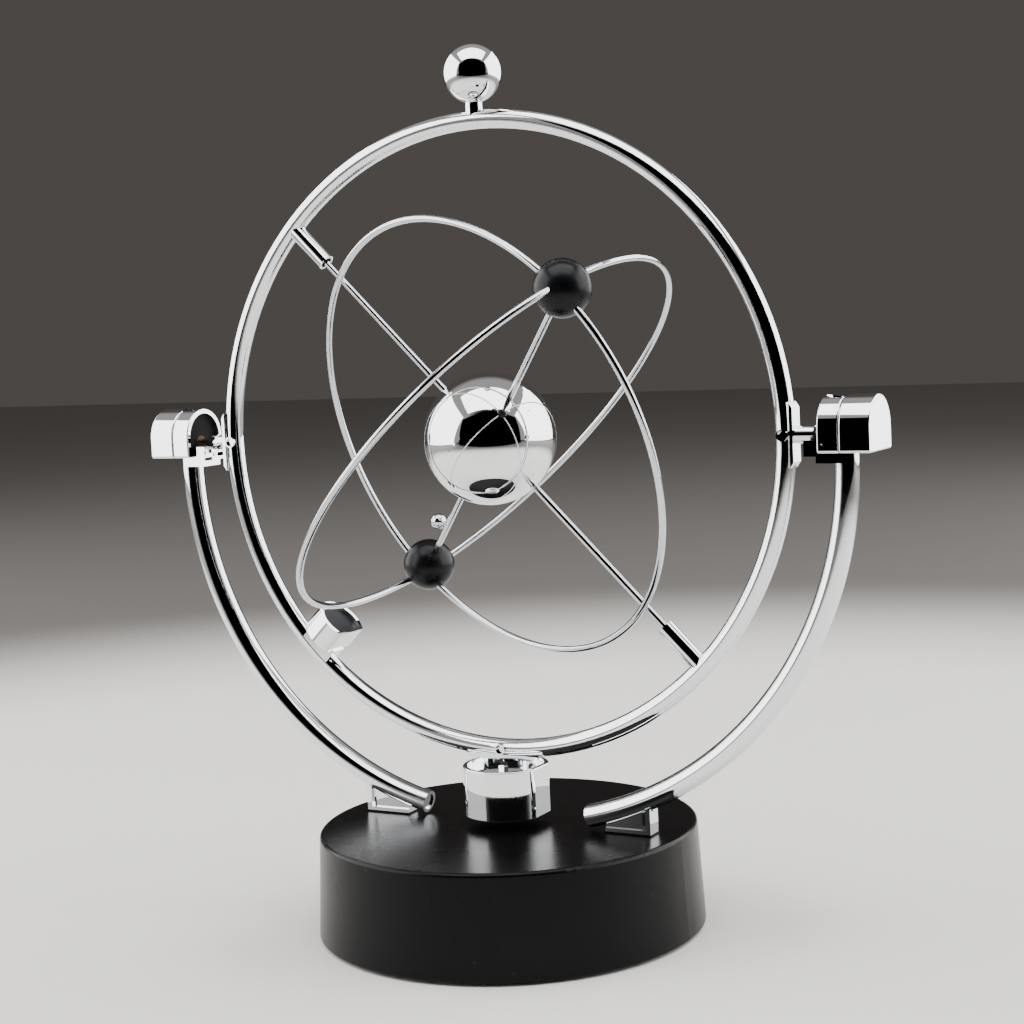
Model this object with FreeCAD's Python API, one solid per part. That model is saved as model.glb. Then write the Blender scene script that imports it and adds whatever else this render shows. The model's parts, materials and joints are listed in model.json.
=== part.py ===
import FreeCAD, Part
import math
import os

# Kinetic orbit desk toy: a steel hoop swings on two pivots over a drum base,
# and an "atom" of orbit wires spins inside the hoop on a rod set at 45 degrees.
# Millimetres, +Z up. The origin is the centre of the footprint, on the table.
# The hoop stands in the X-Z plane and swings about the X axis.

# ---- stand sizes -------------------------------------------------------------
BASE_RIM_Z = 0.8            # lower rim of the drum, held up by the rubber feet
BASE_TOP_Z = 27.9
BASE_RIM_RADIUS = 51.7
BASE_TOP_RADIUS = 50.3
BASE_WALL = 2.4
BASE_TOP_WALL = 2.6
BASE_TOP_ROUND = 1.1
BASE_RIM_ROUND = 0.5

# ---- arms and feet -----------------------------------------------------------
ARM_INSET = 4.65            # tube centre beyond the housing's mouth
ARM_ARC_OUT = 2.35          # the arc's centre lies this far outward of the swing centre
ARM_ARC_DROP = 6.25         # and this far below it
ARM_TUBE_RADIUS = 3.0
ARM_BORE_RADIUS = 2.1
ARM_PLUG_RECESS = 0.5       # disc that closes the tube's lower end
ARM_PLUG_THICK = 1.2
ARM_END_X = 24.5            # lower end of each arm
ARM_END_GAP = 0.454         # lower end's underside above the base
FOOT_INNER_X = 30.0
FOOT_TAB_X = 41.6
FOOT_TAB_THICK = 1.4
FOOT_TAB_WIDTH = 4.8
FOOT_TAB_NOTCH = 0.9
FOOT_TAB_OVERLAP = 0.7      # how far the tab's tips pass the tube's underside
FOOT_WEB_WIDTH = 3.4
FOOT_WEB_GAP = 1.1          # between web and tab
FOOT_PLATE_THICK = 0.9
FOOT_BOSS_HEIGHT = 0.5      # low boss of the base under each foot
FOOT_BOSS_MARGIN = 0.15
FOOT_SCREW_X = 37.5
FOOT_SCREW_RADIUS = 0.95
FOOT_SCREW_DEPTH = 2.8

# ---- pivot housings (heights are from the swing axis) ------------------------
HOUSING_GAP = 8.2           # from the hoop to the housing's mouth
SLEEVE_LENGTH = 5.2
HOUSING_LENGTH = 13.1
HOUSING_HALF_WIDTH = 8.0
HOUSING_ROUND_Z = 1.5       # centre of the round top
HOUSING_FLOOR_Z = -4.0
HOUSING_WALL = 1.3
HOUSING_SEAM_GROOVE = 0.25
HOUSING_EDGE_ROUND = 0.3
HOUSING_CORNER_ROUND = 0.6  # along the bottom corners
HOUSING_LAP = 1.6
CAP_WALL = 2.1
BLOCK_SET_BACK = 1.3
BLOCK_LENGTH = 8.6
BLOCK_SPIGOT_LENGTH = 7.0
BRACKET_GAP = 4.1           # from the hoop to the bracket
BRACKET_HALF_WIDTH = 6.0
BRACKET_TOP_Z = -1.0
BRACKET_BOTTOM_Z = -4.9
BRACKET_SLOT_TOP_Z = -2.9
BRACKET_SLOT_BOTTOM_Z = -4.0
BRACKET_SLOT_HALF_WIDTH = 4.7
BRACKET_SLOT_DEPTH = 2.6
CLAMP_REACH = 1.8           # clamp, inward of the housing's mouth
CLAMP_HALF_WIDTH = 4.0
CLAMP_BOTTOM_Z = -6.7
BUSH_RADIUS = 1.9
BUSH_LENGTH = 2.2

# ---- hoop --------------------------------------------------------------------
HOOP_RADIUS = 82.5          # centreline
HOOP_TUBE_RADIUS = 2.5
STUD_RADIUS = 1.0
STUD_DEPTH = 2.6
SET_SCREW_RADIUS = 1.45
SET_SCREW_PROUD = 0.5
SET_SCREW_SOCKET_RADIUS = 1.15
SET_SCREW_SOCKET_DEPTH = 0.9
PAD_WIDTH = 5.0
PIVOT_PAD_LENGTH = 16.0
PIVOT_PAD_THICK = 0.9
PIVOT_PAD_STAND_OFF = 0.2   # flat outer face, beyond the hoop
HANGER_PAD_LENGTH = 21.5
HANGER_PAD_THICK = 1.2
HANGER_PAD_STAND_OFF = 0.15
PAD_END_SLOPE = 1.4
PIN_RADIUS = 2.15
PIN_LENGTH = 5.6
PIN_CHAMFER = 0.4
JOURNAL_RADIUS = 1.0
JOURNAL_REACH = 2.0         # into the bearing block
FINIAL_RADIUS = 7.8
FINIAL_STAND_OFF = 9.3
FINIAL_NECK_RADIUS = 2.25
FINIAL_STUD_RADIUS = 1.3
FINIAL_STUD_REACH = 0.5

# ---- weights on the hoop -----------------------------------------------------
CUP_RADIUS = 11.5
CUP_GAP = 1.8               # between the hoop and the cup's rim
CUP_HEIGHT = 13.2
CUP_WALL = 1.2
CUP_EDGE_ROUND = 0.3
CUP_FLAT_X = 10.8           # flat on one side of the cup
CUP_DEPTH = 1.6             # rim down to the floor; the magnet fills the space below
CUP_FLOOR_THICK = 1.3
CUP_MAGNET_RADIUS = 9.1
CUP_MAGNET_PROUD = 0.8
CUP_MAGNET_ROUND = 0.4
LUG_WIDTH = 4.7
LUG_GAP = 2.8
LUG_DEPTH = 2.6
LUG_SCREW_DEPTH = 2.3
WEIGHT_SCREW_RADIUS = 0.8
SIDE_CUP_RADIUS = 7.0
SIDE_CUP_FLAT = 4.5
SIDE_CUP_LENGTH = 7.1
SIDE_CUP_GAP = 2.4          # between its back and the hoop
SIDE_CUP_WALL = 1.1
SIDE_CUP_FLOOR = 1.3
SIDE_MAGNET_RECESS = 1.1
SIDE_MAGNET_THICK = 3.0
SIDE_MOUNT_LENGTH = 10.0
SIDE_MOUNT_WIDTH = 5.0

# ---- atom --------------------------------------------------------------------
WIRE_RADIUS = 0.9
ROD_END_GAP = 1.6           # between the rod's points and the hoop
ROD_POINT = 1.2
ROD_TILT = 45.0             # the rod falls towards +X at this angle
ATOM_TURN = 27.6            # how far the ball line is turned about the rod at rest
HOOP_ALONG_RADIUS = 61.2    # orbit wire in the plane of the rod
WIRE_SPACING = 2.1          # the wire square to the rod passes this far outside the other
BALL_RADIUS = 7.25
BALL_SET_IN = 0.9           # ball centre, inside the orbit wire in the rod's plane
BALL_ROD_STOP = 4.9         # ball rod's end, inside the ball's centre
BALL_MAGNET_RADIUS = 3.2
BALL_MAGNET_THICK = 2.8
BALL_MAGNET_SET_IN = 3.5
NUCLEUS_RADIUS = 17.5
NUCLEUS_WALL = 1.5
HUB_THICK = 3.4
HUB_ROD_START = 2.2
BEAD_RADIUS = 2.25
BEAD_ORBIT = 42.5
SOCKET_RADIUS = 2.3
SOCKET_BORE_RADIUS = 1.65
SOCKET_LENGTH = 11.6
SOCKET_FLOOR_THICK = 1.4
ROD_BUSH_SET_BACK = 1.8
ROD_BUSH_LENGTH = 3.0

# ---- inside the base ---------------------------------------------------------
COVER_Z = 1.0
COVER_THICK = 2.4
COVER_GAP = 0.3
DOOR_THICK = 1.6
DOOR_LEDGE = 1.5
DOOR_GAP = 0.3
CELL_RADIUS = 7.05
CELL_LENGTH = 49.2
CELL_NUB_RADIUS = 2.75
CELL_NUB_LENGTH = 1.2
CELL_PITCH = 14.7
CELL_COUNT = 4
CELL_GAP = 0.25             # play round the row of cells
SPRING_REACH = 5.6          # how far a leaf spring stands off its contact plate
SPRING_WIDTH = 6.0
SPRING_HALF_HEIGHT = 4.5
SPRING_NOSE = 1.0
CONTACT_THICK = 0.4
CONTACT_WIDTH = 11.0
CONTACT_HEIGHT = 11.5
BOX_WALL = 1.3
COVER_SCREW_CIRCLE = 45.0
COVER_SCREW_ANGLE = 20.0
COVER_SCREW_RADIUS = 1.0
COVER_SCREW_LENGTH = 9.0
POST_RADIUS = 3.0
FINGER_LENGTH = 16.0
FINGER_WIDTH = 6.0
FINGER_DEPTH = 0.8
PAD_FOOT_X = 36.0
PAD_FOOT_Y = 27.0
PAD_FOOT_RADIUS = 3.5
PAD_FOOT_SINK = 0.6
BOBBIN_RADIUS = 15.0
BOBBIN_HUB_RADIUS = 5.0
BOBBIN_FLANGE = 0.8
BOBBIN_HEIGHT = 5.2
COIL_RADIUS = 14.0
CORE_RADIUS = 3.0
COIL_RIB_THICK = 1.2
COIL_RIB_GRIP = 0.8         # how far the rib reaches over the bobbin
BOARD_LENGTH = 32.0
BOARD_WIDTH = 11.0
BOARD_THICK = 1.4
BOARD_STAND_OFF = 1.2
BOARD_GAP = 1.6             # between the coil's rib and the board
BOARD_PIN_X = 13.0
BOARD_PIN_RADIUS = 0.8      # moulded pins that are melted over to hold the board
BOARD_PIN_HEAD_RADIUS = 1.5
BOARD_PIN_HEAD_HEIGHT = 0.7
TRANSISTOR_X = -7.0
TRANSISTOR_SIZE = 4.5
TRANSISTOR_HEIGHT = 2.0
TRANSISTOR_ROUND = 1.2
CAPACITOR_X = 3.0
CAPACITOR_RADIUS = 1.2
CAPACITOR_LENGTH = 7.0
SCREW_HEAD_RATIO = 1.9      # head radius over shank radius
SCREW_HEAD_HEIGHT = 1.1
SCREW_SLOT_RATIO = 0.4      # slot width over shank radius

# ---- clearances --------------------------------------------------------------
RUNNING = 0.04              # bearing bores over their shafts
SLIP = 0.05                 # pieces that fit together and stay
PIN_SADDLE_GAP = 0.3        # under each pivot pin

# ---- places that follow from the sizes ---------------------------------------
HOOP_INNER = HOOP_RADIUS - HOOP_TUBE_RADIUS
HOOP_OUTER = HOOP_RADIUS + HOOP_TUBE_RADIUS
PIN_END_X = HOOP_OUTER + PIN_LENGTH
BRACKET_INNER_X = HOOP_OUTER + BRACKET_GAP
HOUSING_MOUTH_X = HOOP_OUTER + HOUSING_GAP
HOUSING_SEAM_X = HOUSING_MOUTH_X + SLEEVE_LENGTH
HOUSING_END_X = HOUSING_MOUTH_X + HOUSING_LENGTH
CLAMP_INNER_X = HOUSING_MOUTH_X - CLAMP_REACH
BLOCK_FACE_X = HOUSING_MOUTH_X + BLOCK_SET_BACK
JOURNAL_END_X = BLOCK_FACE_X + JOURNAL_REACH
ARM_X = HOUSING_MOUTH_X + ARM_INSET
ARM_ARC_RADIUS = ARM_X - ARM_ARC_OUT
ARM_END_DEPTH = ARM_ARC_DROP + math.sqrt(ARM_ARC_RADIUS ** 2 - (ARM_END_X - ARM_ARC_OUT) ** 2)
PIVOT_HEIGHT = BASE_TOP_Z + ARM_END_GAP + ARM_TUBE_RADIUS + ARM_END_DEPTH
FOOT_Z = BASE_TOP_Z + FOOT_BOSS_HEIGHT
FINIAL_CENTRE_Z = HOOP_OUTER + FINIAL_STAND_OFF
CUP_RIM_Z = -HOOP_OUTER - CUP_GAP
CUP_BOTTOM_Z = CUP_RIM_Z - CUP_HEIGHT
CUP_FLOOR_Z = CUP_RIM_Z - CUP_DEPTH
SIDE_CUP_BACK = HOOP_INNER - SIDE_CUP_GAP
SIDE_CUP_MOUTH = SIDE_CUP_BACK - SIDE_CUP_LENGTH
SOCKET_MOUTH = HOOP_INNER - SOCKET_LENGTH
SOCKET_FLOOR = HOOP_INNER - SOCKET_FLOOR_THICK
ROD_HALF_LENGTH = HOOP_INNER - ROD_END_GAP
ROD_BUSH_START = SOCKET_MOUTH + ROD_BUSH_SET_BACK
HOOP_ACROSS_RADIUS = HOOP_ALONG_RADIUS + WIRE_SPACING
BALL_ORBIT = HOOP_ALONG_RADIUS - BALL_SET_IN
BALL_ROD_END = BALL_ORBIT - BALL_ROD_STOP
BALL_MAGNET_START = BALL_ORBIT - BALL_MAGNET_SET_IN

V = FreeCAD.Vector
X_AXIS = V(1, 0, 0)
Y_AXIS = V(0, 1, 0)
Z_AXIS = V(0, 0, 1)
PIVOT = V(0, 0, PIVOT_HEIGHT)

tilt = math.radians(ROD_TILT)
turn = math.radians(ATOM_TURN)
ROD_DIR = V(math.cos(tilt), 0, -math.sin(tilt))
ROD_UP = V(math.sin(tilt), 0, math.cos(tilt))
BALL_DIR = ROD_UP * math.cos(turn) - Y_AXIS * math.sin(turn)
FRONT_DIR = ROD_DIR.cross(BALL_DIR)
SIDE_CUP_DIR = V(-math.sin(tilt), 0, -math.cos(tilt))


# ---- small helpers -----------------------------------------------------------
def save(name, shape):
    """Write one sub-part to its own STEP file."""
    shape.exportStep("parts/%s.step" % name)


def box(x0, x1, y0, y1, z0, z1):
    return Part.makeBox(x1 - x0, y1 - y0, z1 - z0, V(x0, y0, z0))


def rod(start, direction, near, far, radius):
    """A round bar along a direction, from one distance to another."""
    return Part.makeCylinder(radius, far - near, start + direction * near, direction)


def upright(x, y, z0, z1, radius):
    return Part.makeCylinder(radius, z1 - z0, V(x, y, z0), Z_AXIS)


def ring(centre, axis, radius, tube):
    return Part.makeTorus(radius, tube, centre, axis)


def prism(points, direction):
    """A flat outline pushed along a direction."""
    outline = Part.makePolygon(points + [points[0]])
    return Part.Face(outline).extrude(direction)


def fuse(shapes):
    whole = shapes[0].fuse(shapes[1:]) if len(shapes) > 1 else shapes[0]
    return whole.removeSplitter()


def group(shapes):
    """Separate identical solids kept in one node."""
    return Part.makeCompound(shapes)


def mirrored(shape):
    return shape.mirror(V(0, 0, 0), X_AXIS)


def base_radius(z):
    """Outer radius of the tapered drum at a height."""
    share = (z - BASE_RIM_Z) / (BASE_TOP_Z - BASE_RIM_Z)
    return BASE_RIM_RADIUS + (BASE_TOP_RADIUS - BASE_RIM_RADIUS) * share


def hoop_solid(gap=0.0):
    """The hoop's plain torus, grown by a gap for saddles."""
    return ring(PIVOT, Y_AXIS, HOOP_RADIUS, HOOP_TUBE_RADIUS + gap)


def arm_centre_z(x):
    """Height of an arm's centreline at a distance from the middle."""
    reach = x - ARM_ARC_OUT
    return PIVOT_HEIGHT - ARM_ARC_DROP - math.sqrt(ARM_ARC_RADIUS ** 2 - reach ** 2)


def arm_solid(radius):
    """The whole circle that an arm is a stretch of, on the +X side."""
    centre = V(ARM_ARC_OUT, 0, PIVOT_HEIGHT - ARM_ARC_DROP)
    return ring(centre, Y_AXIS, ARM_ARC_RADIUS, radius)


# ---- base --------------------------------------------------------------------
TOP_UNDERSIDE = BASE_TOP_Z - BASE_TOP_WALL
COVER_TOP = COVER_Z + COVER_THICK
CELL_Z = COVER_Z + DOOR_THICK + CELL_GAP + CELL_RADIUS
BOX_HALF_X = (CELL_PITCH * (CELL_COUNT - 1)) / 2 + CELL_RADIUS + CELL_GAP
CELL_STACK = CELL_NUB_LENGTH + CELL_LENGTH + SPRING_REACH
BOX_HALF_Y = CELL_STACK / 2 + CONTACT_THICK + SLIP
BOX_CEILING = CELL_Z + CELL_RADIUS + CELL_GAP
BOX_TOP = BOX_CEILING + BOX_WALL
BOARD_Y = BOBBIN_RADIUS + SLIP + COIL_RIB_THICK + BOARD_GAP
BOARD_Z = BOX_TOP + BOARD_STAND_OFF


def cover_screw_places():
    angle = math.radians(COVER_SCREW_ANGLE)
    x = COVER_SCREW_CIRCLE * math.cos(angle)
    y = COVER_SCREW_CIRCLE * math.sin(angle)
    return [(sx * x, sy * y) for sx in (-1, 1) for sy in (-1, 1)]


def pad_foot_places():
    return [(sx * PAD_FOOT_X, sy * PAD_FOOT_Y) for sx in (-1, 1) for sy in (-1, 1)]


def driven_screw(seat, direction, radius, length):
    """Slotted screw whose head rests on a seat and whose shank goes on from it."""
    head_radius = radius * SCREW_HEAD_RATIO
    head = Part.makeCylinder(head_radius, SCREW_HEAD_HEIGHT, V(0, 0, -SCREW_HEAD_HEIGHT))
    shank = Part.makeCylinder(radius, length)
    half_slot = radius * SCREW_SLOT_RATIO / 2
    slot = box(-head_radius, head_radius, -half_slot, half_slot, -SCREW_HEAD_HEIGHT, -SCREW_HEAD_HEIGHT / 2)
    screw = fuse([head, shank]).cut(slot)
    screw.Placement = FreeCAD.Placement(seat, FreeCAD.Rotation(Z_AXIS, direction))
    return screw


def end_edges(shape, z):
    """The round edges of a turned shape at one height."""
    return [e for e in shape.Edges if abs(e.CenterOfMass.z - z) < 0.01 and e.Closed]


def foot_boss(side):
    """Low boss on the drum's top that an arm foot stands on."""
    inner = FOOT_INNER_X - FOOT_BOSS_MARGIN
    outer = FOOT_TAB_X + FOOT_TAB_THICK + FOOT_BOSS_MARGIN
    half = FOOT_TAB_WIDTH / 2 + FOOT_BOSS_MARGIN
    ends = sorted((side * inner, side * outer))
    return box(ends[0], ends[1], -half, half, BASE_TOP_Z - FOOT_BOSS_HEIGHT, FOOT_Z)


def make_base_shell():
    drum = Part.makeCone(BASE_RIM_RADIUS, BASE_TOP_RADIUS, BASE_TOP_Z - BASE_RIM_Z, V(0, 0, BASE_RIM_Z))
    drum = drum.makeFillet(BASE_TOP_ROUND, end_edges(drum, BASE_TOP_Z))
    drum = drum.makeFillet(BASE_RIM_ROUND, end_edges(drum, BASE_RIM_Z))
    hollow = Part.makeCone(BASE_RIM_RADIUS - BASE_WALL, base_radius(TOP_UNDERSIDE) - BASE_WALL,
                           TOP_UNDERSIDE - BASE_RIM_Z, V(0, 0, BASE_RIM_Z))
    shell = drum.cut(hollow)
    rib_inner = BOBBIN_RADIUS + SLIP
    rib_z = BOX_TOP + BOBBIN_HEIGHT - COIL_RIB_GRIP
    rib = upright(0, 0, rib_z, TOP_UNDERSIDE, rib_inner + COIL_RIB_THICK)
    rib = rib.cut(upright(0, 0, rib_z, TOP_UNDERSIDE, rib_inner))
    posts = [upright(x, y, COVER_TOP, TOP_UNDERSIDE, POST_RADIUS) for x, y in cover_screw_places()]
    shell = fuse([shell, rib] + posts + [foot_boss(side) for side in (-1, 1)])
    pilots = [upright(x, y, COVER_TOP, COVER_Z + SCREW_HEAD_HEIGHT + COVER_SCREW_LENGTH + SLIP,
                      COVER_SCREW_RADIUS + SLIP) for x, y in cover_screw_places()]
    holes = [upright(side * FOOT_SCREW_X, 0, TOP_UNDERSIDE, FOOT_Z, FOOT_SCREW_RADIUS + SLIP)
             for side in (-1, 1)]
    return shell.cut(pilots + holes)


def make_bottom_cover():
    plate = upright(0, 0, COVER_Z, COVER_TOP, base_radius(COVER_Z) - BASE_WALL - COVER_GAP)
    wall_x = BOX_HALF_X + BOX_WALL
    wall_y = BOX_HALF_Y + BOX_WALL
    tray = box(-wall_x, wall_x, -wall_y, wall_y, COVER_TOP, BOX_TOP)
    bay = box(-BOX_HALF_X, BOX_HALF_X, -BOX_HALF_Y, BOX_HALF_Y, COVER_Z, BOX_CEILING)
    seat_x = BOX_HALF_X + DOOR_LEDGE
    seat_y = BOX_HALF_Y + DOOR_LEDGE
    seat = box(-seat_x, seat_x, -seat_y, seat_y, COVER_Z, COVER_Z + DOOR_THICK)
    cover = fuse([plate, tray]).cut([bay, seat])
    for x, y in board_pin_places():
        stand_off = upright(x, y, BOX_TOP, BOARD_Z, BOARD_PIN_HEAD_RADIUS)
        pin = upright(x, y, BOX_TOP, BOARD_Z + BOARD_THICK + BOARD_PIN_HEAD_HEIGHT, BOARD_PIN_RADIUS)
        pin_head = upright(x, y, BOARD_Z + BOARD_THICK, BOARD_Z + BOARD_THICK + BOARD_PIN_HEAD_HEIGHT,
                           BOARD_PIN_HEAD_RADIUS)
        cover = fuse([cover, stand_off, pin, pin_head])
    cuts = []
    for x, y in cover_screw_places():
        cuts.append(upright(x, y, COVER_Z, COVER_TOP, COVER_SCREW_RADIUS + SLIP))
        cuts.append(upright(x, y, COVER_Z, COVER_Z + SCREW_HEAD_HEIGHT,
                            COVER_SCREW_RADIUS * SCREW_HEAD_RATIO + SLIP))
    for x, y in pad_foot_places():
        cuts.append(upright(x, y, COVER_Z, COVER_Z + PAD_FOOT_SINK, PAD_FOOT_RADIUS + SLIP))
    return cover.cut(cuts)


def make_battery_door():
    half_x = BOX_HALF_X + DOOR_LEDGE - DOOR_GAP
    half_y = BOX_HALF_Y + DOOR_LEDGE - DOOR_GAP
    door = box(-half_x, half_x, -half_y, half_y, COVER_Z, COVER_Z + DOOR_THICK - SLIP)
    finger = box(-FINGER_LENGTH / 2, FINGER_LENGTH / 2, half_y - 2 * FINGER_WIDTH, half_y - FINGER_WIDTH,
                 COVER_Z, COVER_Z + FINGER_DEPTH)
    return door.cut(finger)


def make_rubber_feet():
    return group([upright(x, y, 0, COVER_Z + PAD_FOOT_SINK, PAD_FOOT_RADIUS) for x, y in pad_foot_places()])


def make_cover_screws():
    seat = COVER_Z + SCREW_HEAD_HEIGHT
    return group([driven_screw(V(x, y, seat), Z_AXIS, COVER_SCREW_RADIUS, COVER_SCREW_LENGTH)
                  for x, y in cover_screw_places()])


def make_foot_screws():
    length = FOOT_Z - TOP_UNDERSIDE + FOOT_SCREW_DEPTH
    return group([driven_screw(V(side * FOOT_SCREW_X, 0, TOP_UNDERSIDE), Z_AXIS, FOOT_SCREW_RADIUS, length)
                  for side in (-1, 1)])


def cell_x(index):
    return (index - (CELL_COUNT - 1) / 2) * CELL_PITCH


def cell_way(index):
    """+1 where the cell's nub points to +Y. Neighbours lie head to tail."""
    return 1 if index % 2 == 0 else -1


def make_cell(index):
    way = cell_way(index)
    direction = Y_AXIS * way
    start = V(cell_x(index), 0, CELL_Z)
    nub_tip = CELL_STACK / 2 - SLIP
    shoulder = nub_tip - CELL_NUB_LENGTH
    nub = rod(start, direction, shoulder, nub_tip, CELL_NUB_RADIUS)
    can = rod(start, direction, shoulder - CELL_LENGTH, shoulder, CELL_RADIUS)
    return fuse([can, nub])


def make_leaf_springs():
    """A bent strip that presses on the flat end of each cell."""
    springs = []
    root = CELL_STACK / 2
    tip = root - SPRING_REACH + 2 * SLIP
    inner_tip = tip + CONTACT_THICK
    nose = SPRING_NOSE
    inner_nose = SPRING_NOSE - CONTACT_THICK
    wing = SPRING_HALF_HEIGHT
    inner_wing = SPRING_HALF_HEIGHT - CONTACT_THICK
    outer = [(root, -wing), (tip, -nose), (tip, nose), (root, wing)]
    inner = [(root, inner_wing), (inner_tip, inner_nose), (inner_tip, -inner_nose), (root, -inner_wing)]
    for index in range(CELL_COUNT):
        away = -cell_way(index)
        x = cell_x(index) - SPRING_WIDTH / 2
        outline = [V(x, away * y, CELL_Z + z) for y, z in outer + inner]
        springs.append(prism(outline, X_AXIS * SPRING_WIDTH))
    return group(springs)


def contact_plate(first, last, way):
    """A plate at one end of the bay, joining the cells from first to last."""
    y0 = CELL_STACK / 2 + SLIP / 2
    y1 = y0 + CONTACT_THICK
    x0 = cell_x(first) - CONTACT_WIDTH / 2
    x1 = cell_x(last) + CONTACT_WIDTH / 2
    z0 = CELL_Z - CONTACT_HEIGHT / 2
    z1 = CELL_Z + CONTACT_HEIGHT / 2
    return box(x0, x1, min(way * y0, way * y1), max(way * y0, way * y1), z0, z1)


def make_contact_plates():
    joins_back = [(i, i + 1) for i in range(0, CELL_COUNT, 2)]
    last = CELL_COUNT - 1
    joins_front = [(0, 0)] + [(i, i + 1) for i in range(1, last, 2)] + [(last, last)]
    plates = [contact_plate(first, last, 1) for first, last in joins_back]
    plates += [contact_plate(first, last, -1) for first, last in joins_front]
    return group(plates)


def make_coil_bobbin():
    low = upright(0, 0, BOX_TOP, BOX_TOP + BOBBIN_FLANGE, BOBBIN_RADIUS)
    high = upright(0, 0, BOX_TOP + BOBBIN_HEIGHT - BOBBIN_FLANGE, BOX_TOP + BOBBIN_HEIGHT, BOBBIN_RADIUS)
    hub = upright(0, 0, BOX_TOP, BOX_TOP + BOBBIN_HEIGHT, BOBBIN_HUB_RADIUS)
    return fuse([low, high, hub]).cut(upright(0, 0, BOX_TOP, BOX_TOP + BOBBIN_HEIGHT, CORE_RADIUS + SLIP))


def make_coil_winding():
    z0 = BOX_TOP + BOBBIN_FLANGE + SLIP
    z1 = BOX_TOP + BOBBIN_HEIGHT - BOBBIN_FLANGE - SLIP
    return upright(0, 0, z0, z1, COIL_RADIUS).cut(upright(0, 0, z0, z1, BOBBIN_HUB_RADIUS + SLIP))


def make_coil_core():
    return upright(0, 0, BOX_TOP, BOX_TOP + BOBBIN_HEIGHT, CORE_RADIUS)


def board_pin_places():
    return [(side * BOARD_PIN_X, BOARD_Y + BOARD_WIDTH / 2) for side in (-1, 1)]


def make_circuit_board():
    half = BOARD_LENGTH / 2
    board = box(-half, half, BOARD_Y, BOARD_Y + BOARD_WIDTH, BOARD_Z, BOARD_Z + BOARD_THICK)
    holes = [upright(x, y, BOARD_Z, BOARD_Z + BOARD_THICK, BOARD_PIN_RADIUS + SLIP)
             for x, y in board_pin_places()]
    return board.cut(holes)


def make_transistor():
    """The coil's switch, a small half-round package lying on the board."""
    half = TRANSISTOR_SIZE / 2
    low = BOARD_Z + BOARD_THICK
    high = low + TRANSISTOR_HEIGHT
    y = BOARD_Y + BOARD_WIDTH / 2
    package = box(TRANSISTOR_X - half, TRANSISTOR_X + half, y - half, y + half, low, high)
    edges = [e for e in package.Edges
             if abs(e.CenterOfMass.z - high) < 0.01 and abs(e.CenterOfMass.y - y) < 0.01]
    return package.makeFillet(TRANSISTOR_ROUND, edges)


def make_capacitor():
    """A small can capacitor lying along the board."""
    start = V(0, BOARD_Y + BOARD_WIDTH / 2, BOARD_Z + BOARD_THICK + CAPACITOR_RADIUS)
    half = CAPACITOR_LENGTH / 2
    return rod(start, X_AXIS, CAPACITOR_X - half, CAPACITOR_X + half, CAPACITOR_RADIUS)


# ---- arms --------------------------------------------------------------------
def make_arm():
    """A bent tube from the housing's floor round to the base, closed by a sunk disc at its lower end."""
    top_z = PIVOT_HEIGHT + HOUSING_FLOOR_Z + HOUSING_WALL + SLIP
    tube = arm_solid(ARM_TUBE_RADIUS).cut(arm_solid(ARM_BORE_RADIUS))
    centre = V(ARM_ARC_OUT, 0, PIVOT_HEIGHT - ARM_ARC_DROP)
    reach = 2 * ARM_ARC_RADIUS
    lower_half = box(centre.x, centre.x + reach, -reach, reach, centre.z - reach, top_z)
    swept = math.asin((ARM_END_X - ARM_ARC_OUT) / ARM_ARC_RADIUS)
    end = V(ARM_END_X, 0, arm_centre_z(ARM_END_X))
    beyond_end = box(-reach, 0, -reach, reach, -reach, reach)
    beyond_end.rotate(V(0, 0, 0), Y_AXIS, -math.degrees(swept))
    beyond_end.translate(end)
    inward = V(math.cos(swept), 0, math.sin(swept))
    mid_wall = (ARM_TUBE_RADIUS + ARM_BORE_RADIUS) / 2
    plug = rod(end, inward, ARM_PLUG_RECESS, ARM_PLUG_RECESS + ARM_PLUG_THICK, mid_wall)
    return fuse([tube.common(lower_half).cut(beyond_end), plug])


def make_arm_foot():
    """Plate with a web under an arm's lower end and a notched tab at its outer end."""
    tab_outer = FOOT_TAB_X + FOOT_TAB_THICK
    half_tab = FOOT_TAB_WIDTH / 2
    half_web = FOOT_WEB_WIDTH / 2
    plate = box(FOOT_INNER_X, tab_outer, -half_tab, half_tab, FOOT_Z, FOOT_Z + FOOT_PLATE_THICK)
    web = box(FOOT_INNER_X, FOOT_TAB_X - FOOT_WEB_GAP, -half_web, half_web, FOOT_Z, PIVOT_HEIGHT / 2)
    tip_z = arm_centre_z(FOOT_TAB_X) - ARM_TUBE_RADIUS + FOOT_TAB_OVERLAP
    outline = [V(FOOT_TAB_X, -half_tab, FOOT_Z),
               V(FOOT_TAB_X, half_tab, FOOT_Z),
               V(FOOT_TAB_X, half_tab, tip_z),
               V(FOOT_TAB_X, 0, tip_z - FOOT_TAB_NOTCH),
               V(FOOT_TAB_X, -half_tab, tip_z)]
    tab = prism(outline, X_AXIS * FOOT_TAB_THICK)
    pilot = upright(FOOT_SCREW_X, 0, FOOT_Z, FOOT_Z + FOOT_SCREW_DEPTH + SLIP, FOOT_SCREW_RADIUS + SLIP)
    foot = fuse([plate, web, tab]).cut([arm_solid(ARM_TUBE_RADIUS + SLIP), pilot])
    return min(foot.Solids, key=lambda piece: piece.CenterOfMass.z)


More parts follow.
